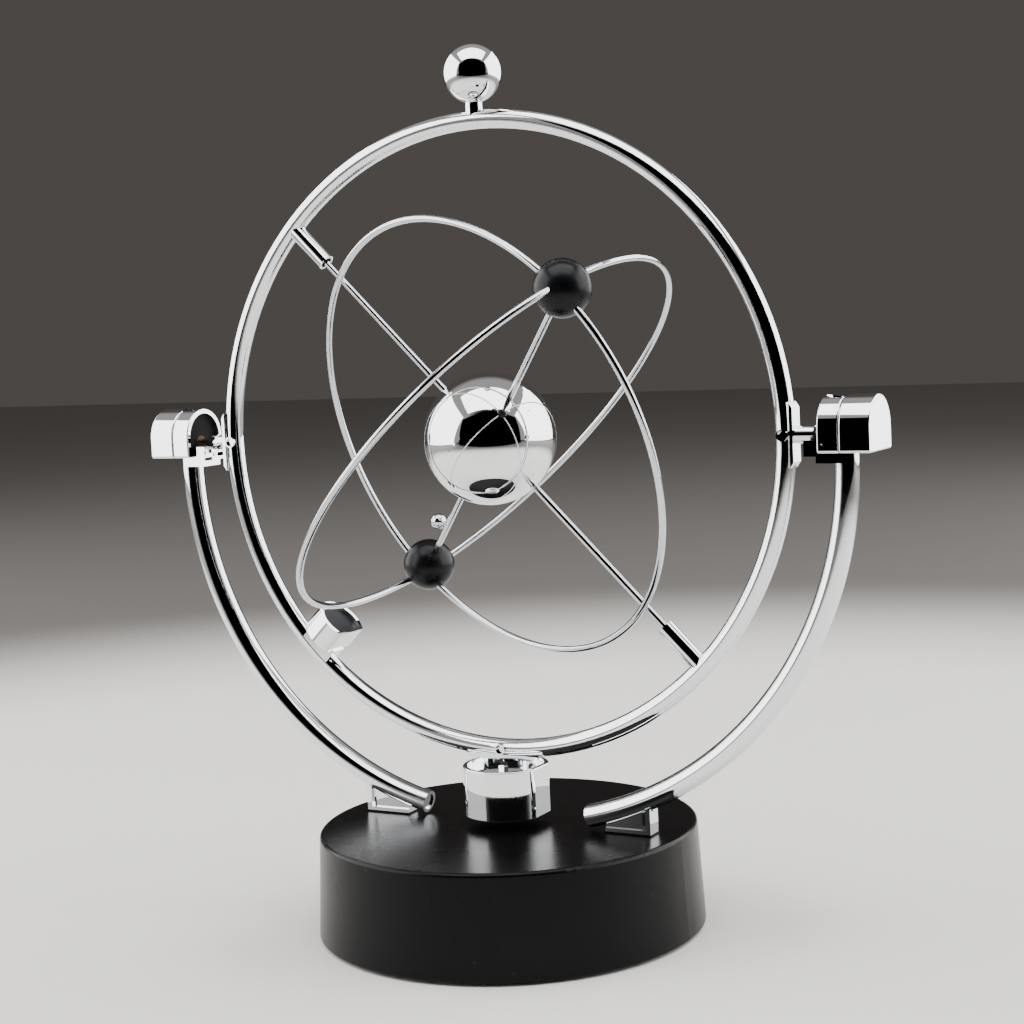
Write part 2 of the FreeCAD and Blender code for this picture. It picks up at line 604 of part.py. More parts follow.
# ---- pivot housings ----------------------------------------------------------
def d_section(x0, x1, inset):
    """A bar with the housing's section: round top, upright sides and flat floor."""
    half = HOUSING_HALF_WIDTH - inset
    round_z = PIVOT_HEIGHT + HOUSING_ROUND_Z
    floor_z = PIVOT_HEIGHT + HOUSING_FLOOR_Z + inset
    barrel = rod(V(0, 0, round_z), X_AXIS, x0, x1, half)
    barrel = barrel.common(box(x0, x1, -half, half, round_z, round_z + half))
    return fuse([barrel, box(x0, x1, -half, half, floor_z, round_z)])


def rounded_housing(x0, x1):
    """The housing's outside between two distances, with its corners and end edges rounded."""
    body = d_section(x0, x1, 0)
    floor_z = PIVOT_HEIGHT + HOUSING_FLOOR_Z
    mid_x = (x0 + x1) / 2
    corners = [e for e in body.Edges if abs(e.CenterOfMass.z - floor_z) < 0.01
               and abs(e.CenterOfMass.x - mid_x) < 0.01]
    body = body.makeFillet(HOUSING_CORNER_ROUND, corners)
    ends = [e for e in body.Edges if min(abs(e.CenterOfMass.x - x0), abs(e.CenterOfMass.x - x1)) < 0.01]
    return body.makeFillet(HOUSING_EDGE_ROUND, ends)


def make_housing_sleeve():
    """Inner part of a housing, open towards the hoop."""
    sleeve = rounded_housing(HOUSING_MOUTH_X, HOUSING_SEAM_X)
    hollow = d_section(HOUSING_MOUTH_X, HOUSING_SEAM_X, HOUSING_WALL)
    return sleeve.cut([hollow, arm_solid(ARM_TUBE_RADIUS + SLIP)])


def make_housing_cap():
    """Closed outer part of a housing, with a lip that plugs into the sleeve."""
    cap = rounded_housing(HOUSING_SEAM_X + HOUSING_SEAM_GROOVE, HOUSING_END_X)
    lip = d_section(HOUSING_SEAM_X - HOUSING_LAP, HOUSING_SEAM_X + HOUSING_SEAM_GROOVE, HOUSING_WALL + SLIP)
    hollow = d_section(HOUSING_SEAM_X - HOUSING_LAP, HOUSING_END_X - HOUSING_WALL, CAP_WALL)
    return fuse([cap, lip]).cut([hollow, arm_solid(ARM_TUBE_RADIUS + SLIP)])


def make_bearing_block():
    """Black block inside a housing: it seats the bush and plugs the arm's tube."""
    front = d_section(BLOCK_FACE_X, HOUSING_SEAM_X - HOUSING_LAP - SLIP, HOUSING_WALL + SLIP)
    rear = d_section(BLOCK_FACE_X, BLOCK_FACE_X + BLOCK_LENGTH, CAP_WALL + SLIP)
    floor = PIVOT_HEIGHT + HOUSING_FLOOR_Z + HOUSING_WALL + SLIP
    spigot = upright(ARM_X, 0, floor - BLOCK_SPIGOT_LENGTH, floor + CAP_WALL, ARM_BORE_RADIUS - 3 * SLIP)
    seat = rod(PIVOT, X_AXIS, BLOCK_FACE_X, BLOCK_FACE_X + BUSH_LENGTH + RUNNING, BUSH_RADIUS + SLIP)
    return fuse([front, rear, spigot]).cut(seat)


def make_bush():
    """Bronze bush that carries the journal of a pivot pin."""
    bush = rod(PIVOT, X_AXIS, BLOCK_FACE_X, BLOCK_FACE_X + BUSH_LENGTH, BUSH_RADIUS)
    return bush.cut(rod(PIVOT, X_AXIS, BLOCK_FACE_X, BLOCK_FACE_X + BUSH_LENGTH, JOURNAL_RADIUS + RUNNING))


def make_bracket():
    """Cradle under the pivot pin, tucked into the housing's mouth and hugging the arm."""
    top = PIVOT_HEIGHT + BRACKET_TOP_Z
    bottom = PIVOT_HEIGHT + BRACKET_BOTTOM_Z
    half = BRACKET_HALF_WIDTH
    mouth = HOUSING_MOUTH_X - SLIP
    hood = box(BRACKET_INNER_X, mouth, -half, half, bottom, top)
    slot = box(BRACKET_INNER_X, BRACKET_INNER_X + BRACKET_SLOT_DEPTH,
               -BRACKET_SLOT_HALF_WIDTH, BRACKET_SLOT_HALF_WIDTH,
               PIVOT_HEIGHT + BRACKET_SLOT_BOTTOM_Z, PIVOT_HEIGHT + BRACKET_SLOT_TOP_Z)
    floor_top = PIVOT_HEIGHT + HOUSING_FLOOR_Z + HOUSING_WALL + SLIP
    tongue = box(mouth, BLOCK_FACE_X - SLIP, -half, half, floor_top, top)
    clamp = box(CLAMP_INNER_X, ARM_X, -CLAMP_HALF_WIDTH, CLAMP_HALF_WIDTH,
                PIVOT_HEIGHT + CLAMP_BOTTOM_Z, PIVOT_HEIGHT + HOUSING_FLOOR_Z - SLIP)
    pin_saddle = rod(PIVOT, X_AXIS, 0, PIN_END_X + PIN_SADDLE_GAP, PIN_RADIUS + PIN_SADDLE_GAP)
    journal_saddle = rod(PIVOT, X_AXIS, 0, BLOCK_FACE_X, JOURNAL_RADIUS + PIN_SADDLE_GAP)
    bracket = fuse([hood.cut(slot), tongue, clamp])
    return bracket.cut([pin_saddle, journal_saddle, arm_solid(ARM_TUBE_RADIUS + SLIP)])


# ---- hoop --------------------------------------------------------------------
def polar(angle):
    """Unit direction in the hoop's plane, measured up from +X."""
    return V(math.cos(math.radians(angle)), 0, math.sin(math.radians(angle)))


RIGHT, TOP, UPPER_LEFT, LEFT, LOWER_LEFT, BOTTOM, LOWER_RIGHT = 0, 90, 135, 180, 225, 270, 315
OUTER_STUDS = (RIGHT, TOP, LEFT, BOTTOM)
INNER_STUDS = (UPPER_LEFT, LOWER_LEFT, LOWER_RIGHT)
SET_SCREW_ANGLES = (RIGHT, LEFT, BOTTOM)


def make_hoop():
    cuts = []
    for angle in OUTER_STUDS:
        cuts.append(rod(PIVOT, polar(angle), HOOP_OUTER - STUD_DEPTH, HOOP_OUTER + 1, STUD_RADIUS + SLIP))
    for angle in INNER_STUDS:
        cuts.append(rod(PIVOT, polar(angle), HOOP_INNER - 1, HOOP_INNER + STUD_DEPTH, STUD_RADIUS + SLIP))
    for angle in SET_SCREW_ANGLES:
        start = PIVOT + polar(angle) * HOOP_RADIUS
        deep = STUD_RADIUS + SLIP
        cuts.append(rod(start, -Y_AXIS, deep, 2 * HOOP_TUBE_RADIUS, SET_SCREW_RADIUS + SLIP))
    return hoop_solid().cut(cuts)


def make_set_screws():
    """Socket screws in the hoop's front that clamp the studs."""
    screws = []
    for angle in SET_SCREW_ANGLES:
        start = PIVOT + polar(angle) * HOOP_RADIUS
        far = HOOP_TUBE_RADIUS + SET_SCREW_PROUD
        screw = rod(start, -Y_AXIS, STUD_RADIUS + 2 * SLIP, far, SET_SCREW_RADIUS)
        socket = rod(start, -Y_AXIS, far - SET_SCREW_SOCKET_DEPTH, far, SET_SCREW_SOCKET_RADIUS)
        screws.append(screw.cut(socket))
    return group(screws)


def pad(length, thick, stand_off):
    """Flat pad with sloped ends on the outside of the hoop at +X, hollowed for the tube."""
    face = HOOP_OUTER + stand_off
    outline = [V(face - thick, -PAD_WIDTH / 2, PIVOT_HEIGHT - length / 2),
               V(face, -PAD_WIDTH / 2, PIVOT_HEIGHT - length / 2 + PAD_END_SLOPE),
               V(face, -PAD_WIDTH / 2, PIVOT_HEIGHT + length / 2 - PAD_END_SLOPE),
               V(face - thick, -PAD_WIDTH / 2, PIVOT_HEIGHT + length / 2)]
    plate = prism(outline, Y_AXIS * PAD_WIDTH).cut(hoop_solid(SLIP))
    return max(plate.Solids, key=lambda piece: piece.Volume)


def make_pivot_pin():
    """Pad, pin and journal in one piece, held in the hoop by its stud."""
    face = HOOP_OUTER + PIVOT_PAD_STAND_OFF
    stud = rod(PIVOT, X_AXIS, HOOP_OUTER - STUD_DEPTH + SLIP, face, STUD_RADIUS)
    pin = rod(PIVOT, X_AXIS, face - PIVOT_PAD_THICK, PIN_END_X, PIN_RADIUS)
    pin_edge = [e for e in pin.Edges if abs(e.CenterOfMass.x - PIN_END_X) < 0.01]
    pin = pin.makeChamfer(PIN_CHAMFER, pin_edge).cut(hoop_solid(SLIP))
    pin = max(pin.Solids, key=lambda piece: piece.CenterOfMass.x)
    journal = rod(PIVOT, X_AXIS, face, JOURNAL_END_X, JOURNAL_RADIUS)
    return fuse([pad(PIVOT_PAD_LENGTH, PIVOT_PAD_THICK, PIVOT_PAD_STAND_OFF), pin, journal, stud])


def make_finial_stem():
    """Stem between the hoop and the ball, with a stud at each end."""
    top = PIVOT_HEIGHT + FINIAL_CENTRE_Z - math.sqrt(FINIAL_RADIUS ** 2 - FINIAL_NECK_RADIUS ** 2)
    neck = upright(0, 0, PIVOT_HEIGHT + HOOP_RADIUS, top, FINIAL_NECK_RADIUS).cut(hoop_solid(SLIP))
    neck = max(neck.Solids, key=lambda piece: piece.CenterOfMass.z)
    low = upright(0, 0, PIVOT_HEIGHT + HOOP_OUTER - STUD_DEPTH + SLIP, top, STUD_RADIUS)
    high = upright(0, 0, top - FINIAL_STUD_REACH, PIVOT_HEIGHT + FINIAL_CENTRE_Z, FINIAL_STUD_RADIUS)
    return fuse([neck, low, high])


def make_finial_ball():
    centre = PIVOT + Z_AXIS * FINIAL_CENTRE_Z
    top = FINIAL_CENTRE_Z - math.sqrt(FINIAL_RADIUS ** 2 - FINIAL_NECK_RADIUS ** 2)
    low = FINIAL_CENTRE_Z - FINIAL_RADIUS
    ball = Part.makeSphere(FINIAL_RADIUS, centre)
    flat = rod(PIVOT, Z_AXIS, low - 1, top + SLIP, FINIAL_NECK_RADIUS + SLIP)
    bore = rod(PIVOT, Z_AXIS, low, FINIAL_CENTRE_Z + SLIP, FINIAL_STUD_RADIUS + SLIP)
    return ball.cut([flat, bore])


# ---- lower weight ------------------------------------------------------------
def cup_prism(z0, z1, inset):
    """The lower cup's section: a round with one flat side."""
    bar = upright(0, 0, z0, z1, CUP_RADIUS - inset)
    return bar.common(box(-CUP_RADIUS, CUP_FLAT_X - inset, -CUP_RADIUS, CUP_RADIUS, z0, z1))


def lug_places():
    offset = (LUG_GAP + LUG_WIDTH) / 2
    return (-offset, offset)


def make_weight_cup():
    rim = PIVOT_HEIGHT + CUP_RIM_Z
    bottom = PIVOT_HEIGHT + CUP_BOTTOM_Z
    floor = PIVOT_HEIGHT + CUP_FLOOR_Z
    cup = cup_prism(bottom, rim, 0)
    ends = [e for e in cup.Edges if min(abs(e.CenterOfMass.z - bottom), abs(e.CenterOfMass.z - rim)) < 0.01]
    cup = cup.makeFillet(CUP_EDGE_ROUND, ends)
    upper = cup_prism(floor, rim, CUP_WALL)
    lower = cup_prism(bottom, floor - CUP_FLOOR_THICK, CUP_WALL)
    holes = [upright(x, 0, bottom, rim, WEIGHT_SCREW_RADIUS + SLIP) for x in lug_places()]
    return cup.cut([upper, lower] + holes)


def make_weight_hanger():
    """Pad under the hoop with two lugs that carry the cup."""
    flat = pad(HANGER_PAD_LENGTH, HANGER_PAD_THICK, HANGER_PAD_STAND_OFF)
    flat.rotate(PIVOT, Y_AXIS, 90)
    underside = PIVOT_HEIGHT - HOOP_OUTER - HANGER_PAD_STAND_OFF
    floor = PIVOT_HEIGHT + CUP_FLOOR_Z
    lugs = [box(x - LUG_WIDTH / 2, x + LUG_WIDTH / 2, -LUG_DEPTH / 2, LUG_DEPTH / 2, floor,
                underside + HANGER_PAD_STAND_OFF / 2) for x in lug_places()]
    stud = upright(0, 0, underside, PIVOT_HEIGHT - HOOP_OUTER + STUD_DEPTH - SLIP, STUD_RADIUS)
    pilots = [upright(x, 0, floor, floor + LUG_SCREW_DEPTH + SLIP, WEIGHT_SCREW_RADIUS + SLIP)
              for x in lug_places()]
    return fuse([flat, stud] + lugs).cut(pilots)


def make_weight_screws():
    """Two screws up into the lugs and one out through the side cup, all the same."""
    length = CUP_FLOOR_THICK + LUG_SCREW_DEPTH
    seat_z = PIVOT_HEIGHT + CUP_FLOOR_Z - CUP_FLOOR_THICK
    screws = [driven_screw(V(x, 0, seat_z), Z_AXIS, WEIGHT_SCREW_RADIUS, length) for x in lug_places()]
    side_seat = PIVOT + SIDE_CUP_DIR * (SIDE_CUP_BACK - SIDE_CUP_FLOOR)
    screws.append(driven_screw(side_seat, SIDE_CUP_DIR, WEIGHT_SCREW_RADIUS, length))
    return group(screws)


def make_weight_magnet():
    """Disc magnet glued under the screw heads, a little proud of the cup."""
    low = PIVOT_HEIGHT + CUP_BOTTOM_Z - CUP_MAGNET_PROUD
    high = PIVOT_HEIGHT + CUP_FLOOR_Z - CUP_FLOOR_THICK - SCREW_HEAD_HEIGHT - SLIP
    disc = upright(0, 0, low, high, CUP_MAGNET_RADIUS)
    return disc.makeFillet(CUP_MAGNET_ROUND, end_edges(disc, low))


# ---- side weight -------------------------------------------------------------
def on_side(shape):
    """Moves a shape from +Z and +X onto the side cup's radius and the rod's direction."""
    turned = shape.copy()
    turned.Placement = FreeCAD.Placement(PIVOT, FreeCAD.Rotation(Y_AXIS, 180 + ROD_TILT))
    return turned


def side_section(near, far, inset):
    """The side cup's section, a round with one flat, between two distances."""
    bar = Part.makeCylinder(SIDE_CUP_RADIUS - inset, far - near, V(0, 0, near), Z_AXIS)
    wide = SIDE_CUP_RADIUS
    return on_side(bar.common(box(inset - SIDE_CUP_FLAT, wide, -wide, wide, near, far)))


def make_side_cup():
    cup = side_section(SIDE_CUP_MOUTH, SIDE_CUP_BACK, 0)
    hollow = side_section(SIDE_CUP_MOUTH, SIDE_CUP_BACK - SIDE_CUP_FLOOR, SIDE_CUP_WALL)
    hole = rod(PIVOT, SIDE_CUP_DIR, SIDE_CUP_MOUTH, SIDE_CUP_BACK, WEIGHT_SCREW_RADIUS + SLIP)
    return cup.cut([hollow, hole])


def make_side_magnet():
    near = SIDE_CUP_MOUTH + SIDE_MAGNET_RECESS
    return side_section(near, near + SIDE_MAGNET_THICK, SIDE_CUP_WALL + 2 * SLIP)


def make_side_mount():
    """Block between the side cup and the inside of the hoop."""
    half_length = SIDE_MOUNT_LENGTH / 2
    half_width = SIDE_MOUNT_WIDTH / 2
    block = on_side(box(-half_length, half_length, -half_width, half_width, SIDE_CUP_BACK, HOOP_RADIUS))
    hole = rod(PIVOT, SIDE_CUP_DIR, SIDE_CUP_BACK, HOOP_RADIUS, WEIGHT_SCREW_RADIUS + SLIP)
    block = block.cut([hoop_solid(SLIP), hole])
    centre = PIVOT + SIDE_CUP_DIR * SIDE_CUP_BACK
    return min(block.Solids, key=lambda piece: piece.CenterOfMass.distanceToPoint(centre))


# ---- rod sockets -------------------------------------------------------------
def make_socket(way):
    """Socket on the inside of the hoop that holds one end of the rod."""
    direction = ROD_DIR * way
    body = rod(PIVOT, direction, SOCKET_MOUTH, HOOP_RADIUS, SOCKET_RADIUS)
    bore = rod(PIVOT, direction, SOCKET_MOUTH, SOCKET_FLOOR, SOCKET_BORE_RADIUS)
    body = body.cut([hoop_solid(SLIP), bore])
    centre = PIVOT + direction * SOCKET_MOUTH
    body = min(body.Solids, key=lambda piece: piece.CenterOfMass.distanceToPoint(centre))
    stud = rod(PIVOT, direction, SOCKET_FLOOR, HOOP_INNER + STUD_DEPTH - SLIP, STUD_RADIUS)
    return fuse([body, stud])


def make_rod_bushes():
    far = ROD_BUSH_START + ROD_BUSH_LENGTH
    bushes = []
    for way in (-1, 1):
        bush = rod(PIVOT, ROD_DIR * way, ROD_BUSH_START, far, SOCKET_BORE_RADIUS - SLIP)
        bushes.append(bush.cut(rod(PIVOT, ROD_DIR * way, ROD_BUSH_START, far, WIRE_RADIUS + RUNNING)))
    return group(bushes)


# ---- atom --------------------------------------------------------------------
ALONG_CENTRE = PIVOT + FRONT_DIR * (2 * WIRE_RADIUS + SLIP / 2)


def hoop_along(gap=0.0):
    return ring(ALONG_CENTRE, FRONT_DIR, HOOP_ALONG_RADIUS, WIRE_RADIUS + gap)


def hoop_across(gap=0.0):
    return ring(PIVOT, ROD_DIR, HOOP_ACROSS_RADIUS, WIRE_RADIUS + gap)


def make_spin_rod():
    """The atom's axle, pointed at both ends."""
    straight = ROD_HALF_LENGTH - ROD_POINT
    shaft = rod(PIVOT, ROD_DIR, -straight, straight, WIRE_RADIUS)
    tips = []
    for way in (-1, 1):
        tips.append(Part.makeCone(WIRE_RADIUS, WIRE_RADIUS / 4, ROD_POINT, PIVOT + ROD_DIR * way * straight,
                                  ROD_DIR * way))
    return fuse([shaft] + tips)


def make_ball_rod(way):
    return rod(PIVOT, BALL_DIR * way, HUB_ROD_START, BALL_ROD_END, WIRE_RADIUS)


def make_orbit_ball(way):
    """Black ball threaded on both orbit wires and the ball rod."""
    direction = BALL_DIR * way
    ball = Part.makeSphere(BALL_RADIUS, PIVOT + direction * BALL_ORBIT)
    bore = rod(PIVOT, direction, BALL_ORBIT - BALL_RADIUS - 1, BALL_ROD_END + SLIP, WIRE_RADIUS + SLIP)
    magnet_end = BALL_MAGNET_START + BALL_MAGNET_THICK
    pocket = rod(PIVOT, direction, BALL_MAGNET_START - SLIP, magnet_end + SLIP, BALL_MAGNET_RADIUS + SLIP)
    return ball.cut([bore, pocket, hoop_along(SLIP), hoop_across(SLIP)])


def make_ball_magnets():
    magnet_end = BALL_MAGNET_START + BALL_MAGNET_THICK
    return group([rod(PIVOT, BALL_DIR * way, BALL_MAGNET_START, magnet_end, BALL_MAGNET_RADIUS)
                  for way in (-1, 1)])


def make_nucleus_half(way):
    """One half of the hollow centre ball, split square to the rod."""
    hollow = Part.makeSphere(NUCLEUS_RADIUS - NUCLEUS_WALL, PIVOT)
    shell = Part.makeSphere(NUCLEUS_RADIUS, PIVOT).cut(hollow)
    half = rod(PIVOT, ROD_DIR * way, 0, NUCLEUS_RADIUS + 1, NUCLEUS_RADIUS + 1)
    axle_hole = rod(PIVOT, ROD_DIR, -NUCLEUS_RADIUS - 1, NUCLEUS_RADIUS + 1, WIRE_RADIUS + 2 * SLIP)
    ball_hole = rod(PIVOT, BALL_DIR, -NUCLEUS_RADIUS - 1, NUCLEUS_RADIUS + 1, WIRE_RADIUS + 2 * SLIP)
    return shell.common(half).cut([axle_hole, ball_hole])


def make_nucleus_hub():
    """Disc inside the centre ball that grips the axle and both ball rods."""
    radius = math.sqrt((NUCLEUS_RADIUS - NUCLEUS_WALL) ** 2 - (HUB_THICK / 2) ** 2) - SLIP
    disc = rod(PIVOT, ROD_DIR, -HUB_THICK / 2, HUB_THICK / 2, radius)
    bore = WIRE_RADIUS + SLIP
    cuts = [rod(PIVOT, ROD_DIR, -HUB_THICK, HUB_THICK, bore)]
    for way in (-1, 1):
        cuts.append(rod(PIVOT, BALL_DIR * way, HUB_ROD_START - SLIP, NUCLEUS_RADIUS, bore))
    return disc.cut(cuts)


def make_moon_bead():
    """Small ball soldered to the side of the lower ball rod."""
    centre = PIVOT - BALL_DIR * BEAD_ORBIT - ROD_DIR * (BEAD_RADIUS + WIRE_RADIUS + SLIP / 2)
    return Part.makeSphere(BEAD_RADIUS, centre)


def build_base():
    save("base_shell", make_base_shell())
    save("bottom_cover", make_bottom_cover())
    save("battery_door", make_battery_door())
    save("rubber_feet", make_rubber_feet())
    save("cover_screws", make_cover_screws())
    save("foot_screws", make_foot_screws())
    for index in range(CELL_COUNT):
        save("battery_%d" % (index + 1), make_cell(index))
    save("battery_leaf_springs", make_leaf_springs())
    save("battery_contacts", make_contact_plates())
    save("coil_bobbin", make_coil_bobbin())
    save("coil_winding", make_coil_winding())
    save("coil_core", make_coil_core())
    save("circuit_board", make_circuit_board())
    save("board_transistor", make_transistor())
    save("board_capacitor", make_capacitor())


def build_sides():
    makers = {
        "arm": make_arm,
        "arm_foot": make_arm_foot,
        "housing_sleeve": make_housing_sleeve,
        "housing_cap": make_housing_cap,
        "bearing_block": make_bearing_block,
        "pin_bracket": make_bracket,
        "pivot_bush": make_bush,
        "pivot_pin": make_pivot_pin,
    }
    for name, make in makers.items():
        shape = make()
        save("right_" + name, shape)
        save("left_" + name, mirrored(shape))


def build_hoop():
    save("hoop", make_hoop())
    save("hoop_set_screws", make_set_screws())
    save("finial_stem", make_finial_stem())
    save("finial_ball", make_finial_ball())
    save("weight_hanger", make_weight_hanger())
    save("weight_cup", make_weight_cup())
    save("weight_screws", make_weight_screws())
    save("weight_magnet", make_weight_magnet())
    save("side_cup", make_side_cup())
    save("side_magnet", make_side_magnet())
    save("side_mount", make_side_mount())
    save("upper_rod_socket", make_socket(-1))
    save("lower_rod_socket", make_socket(1))
    save("rod_bushes", make_rod_bushes())


def build_atom():
    save("spin_rod", make_spin_rod())
    save("orbit_wire_along", hoop_along())
    save("orbit_wire_across", hoop_across())
    save("nucleus_hub", make_nucleus_hub())
    save("nucleus_upper_half", make_nucleus_half(-1))
    save("nucleus_lower_half", make_nucleus_half(1))
    save("upper_ball_rod", make_ball_rod(1))
    save("lower_ball_rod", make_ball_rod(-1))
    save("upper_orbit_ball", make_orbit_ball(1))
    save("lower_orbit_ball", make_orbit_ball(-1))
    save("ball_magnets", make_ball_magnets())
    save("moon_bead", make_moon_bead())


os.makedirs("parts", exist_ok=True)
build_base()
build_sides()
build_hoop()
build_atom()
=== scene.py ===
import json
import math

import bpy
from mathutils import Matrix, Vector


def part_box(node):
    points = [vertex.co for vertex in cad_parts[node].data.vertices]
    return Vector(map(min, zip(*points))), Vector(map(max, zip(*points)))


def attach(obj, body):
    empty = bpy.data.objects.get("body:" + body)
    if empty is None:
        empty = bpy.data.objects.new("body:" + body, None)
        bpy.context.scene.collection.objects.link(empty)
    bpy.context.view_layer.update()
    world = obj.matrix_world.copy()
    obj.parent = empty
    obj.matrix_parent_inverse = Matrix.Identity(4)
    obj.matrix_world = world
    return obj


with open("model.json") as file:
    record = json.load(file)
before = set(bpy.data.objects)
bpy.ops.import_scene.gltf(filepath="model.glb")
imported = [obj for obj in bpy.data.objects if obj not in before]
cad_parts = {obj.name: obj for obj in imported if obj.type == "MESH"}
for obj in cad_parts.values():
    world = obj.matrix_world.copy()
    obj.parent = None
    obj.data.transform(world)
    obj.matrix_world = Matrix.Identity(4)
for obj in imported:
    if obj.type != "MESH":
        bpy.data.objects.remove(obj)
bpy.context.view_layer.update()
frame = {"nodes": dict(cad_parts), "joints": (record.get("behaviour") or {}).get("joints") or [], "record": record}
nodes = frame["nodes"]

MM = 0.001


# ---- places taken from the frame -----------------------------------------------
def hinge(name):
    joint = next(j for j in frame["joints"] if j["name"] == name)
    return Vector(joint["pos_m"]), Vector(joint["axis"]).normalized()


def middle(node):
    low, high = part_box(node)
    return (low + high) / 2


PIVOT = hinge("hoop_swing")[0]
ROD_AXIS = hinge("atom_spin")[1]


# ---- materials -----------------------------------------------------------------
BASE_BLACK = "#050506"
BALL_BLACK = "#08090d"
PLATING = "#f0f1f3"
TUBE_CHROME = "#eceef1"
DRIFT_LOW, DRIFT_HIGH = 0.3, 0.7        # the part of a noise's range that is spread over the roughness
GRAIN_BREAKUP = 0.55
SPECK_SKIP, SPECK_KEEP = 0.55, 0.6      # a bit under half of the specks are kept
# Sockets of a Mix node that mixes colours, which share their names with its other kinds.
MIX_FACTOR, MIX_FIRST, MIX_SECOND, MIX_RESULT = 0, 6, 7, 2


def hex_colour(code):
    """An sRGB hex colour as the linear colour that the shader takes."""
    parts = [int(code[i:i + 2], 16) / 255 for i in (1, 3, 5)]
    linear = [p / 12.92 if p <= 0.04045 else ((p + 0.055) / 1.055) ** 2.4 for p in parts]
    return (*linear, 1.0)


def per_metre(millimetres):
    """Scale of a pattern whose features are this far apart."""
    return 1000.0 / millimetres


def add(tree, kind, values=None, links=None, **settings):
    """Adds a node with its settings, socket values and incoming links."""
    node = tree.nodes.new(kind)
    for key, value in settings.items():
        setattr(node, key, value)
    for key, value in (values or {}).items():
        node.inputs[key].default_value = value
    for key, source in (links or {}).items():
        tree.links.new(source, node.inputs[key])
    return node


def start(name, colour, metallic, roughness, **sockets):
    """A new material and the parts that every finish begins with."""
    material = bpy.data.materials.new(name)
    material.use_nodes = True
    tree = material.node_tree
    shader = tree.nodes["Principled BSDF"]
    shader.inputs["Base Color"].default_value = hex_colour(colour)
    shader.inputs["Metallic"].default_value = metallic
    shader.inputs["Roughness"].default_value = roughness
    for key, value in sockets.items():
        shader.inputs[key.replace("_", " ")].default_value = value
    coords = add(tree, "ShaderNodeTexCoord").outputs["Object"]
    return material, tree, shader, coords


def uneven_sheen(tree, shader, coords, spacing, low, high, detail=5.0, breakup=0.6):
    """Roughness that drifts between two values, as on a surface that has been handled."""
    drift = add(tree, "ShaderNodeTexNoise",
                {"Scale": per_metre(spacing), "Detail": detail, "Roughness": breakup}, {"Vector": coords})
    spread = add(tree, "ShaderNodeMapRange",
                 {"From Min": DRIFT_LOW, "From Max": DRIFT_HIGH, "To Min": low, "To Max": high},
                 {"Value": drift.outputs["Fac"]})
    tree.links.new(spread.outputs["Result"], shader.inputs["Roughness"])
    return drift.outputs["Fac"]


def fine_relief(tree, shader, coords, spacing, depth, detail=2.0):
    """Soft bumps this far apart and this deep, in millimetres."""
    grain = add(tree, "ShaderNodeTexNoise",
                {"Scale": per_metre(spacing), "Detail": detail, "Roughness": GRAIN_BREAKUP},
                {"Vector": coords})
    relief = add(tree, "ShaderNodeBump", {"Strength": 1.0, "Distance": depth * MM},
                 {"Height": grain.outputs["Fac"]})
    tree.links.new(relief.outputs["Normal"], shader.inputs["Normal"])
    return relief.outputs["Normal"]


def scattered_specks(tree, shader, coords, spacing, size, ground, speck):
    """Small dots of another colour, this far apart and wide in millimetres. Gives back their mask."""
    cells = add(tree, "ShaderNodeTexVoronoi", {"Scale": per_metre(spacing)}, {"Vector": coords})
    edge = size / spacing
    dots = add(tree, "ShaderNodeMapRange",
               {"From Min": edge / 2, "From Max": edge, "To Min": 1.0, "To Max": 0.0},
               {"Value": cells.outputs["Distance"]})
    chance = add(tree, "ShaderNodeSeparateColor", links={"Color": cells.outputs["Color"]})
    kept = add(tree, "ShaderNodeMapRange", {"From Min": SPECK_SKIP, "From Max": SPECK_KEEP},
               {"Value": chance.outputs["Red"]})
    mask = add(tree, "ShaderNodeMath", links={0: dots.outputs["Result"], 1: kept.outputs["Result"]},
               operation="MULTIPLY").outputs["Value"]
    colour = add(tree, "ShaderNodeMix", {MIX_FIRST: hex_colour(ground), MIX_SECOND: hex_colour(speck)},
                 {MIX_FACTOR: mask}, data_type="RGBA")
    tree.links.new(colour.outputs[MIX_RESULT], shader.inputs["Base Color"])
    return mask


def pitted_ripple(tree, shader, coords, spacing, depth, detail, pits, pit_depth):
    """A bright surface's slow ripple with the masked pits pressed into it, in millimetres."""
    ripple = fine_relief(tree, shader, coords, spacing, depth, detail)
    pressed = add(tree, "ShaderNodeBump", {"Strength": 1.0, "Distance": -pit_depth * MM},
                  {"Height": pits, "Normal": ripple})
    tree.links.new(pressed.outputs["Normal"], shader.inputs["Normal"])


def satin_black_abs():
    """Base: black ABS from a finely spark-eroded mould. A soft sheen, with a little dust lying on it.

    The grain is drawn at 0.5 mm, coarser than the real one, so that it shows.
    """
    material, tree, shader, coords = start(
        "satin_black_abs", BASE_BLACK, 0.0, 0.27, Specular_IOR_Level=0.13)
    uneven_sheen(tree, shader, coords, 30.0, 0.25, 0.29)
    scattered_specks(tree, shader, coords, 4.5, 0.5, BASE_BLACK, "#201f1f")
    fine_relief(tree, shader, coords, 0.5, 0.008)
    return material


def plated_abs():
    """Housings, cups, feet and bright balls: chrome over moulded ABS.

    A mirror with a slow ripple and a few pits.
    """
    material, tree, shader, coords = start("chrome_plated_abs", PLATING, 1.0, 0.03)
    uneven_sheen(tree, shader, coords, 9.0, 0.015, 0.06)
    pits = scattered_specks(tree, shader, coords, 5.0, 0.35, PLATING, "#7b7b7e")
    pitted_ripple(tree, shader, coords, 7.0, 0.006, 1.0, pits, 0.03)
    return material


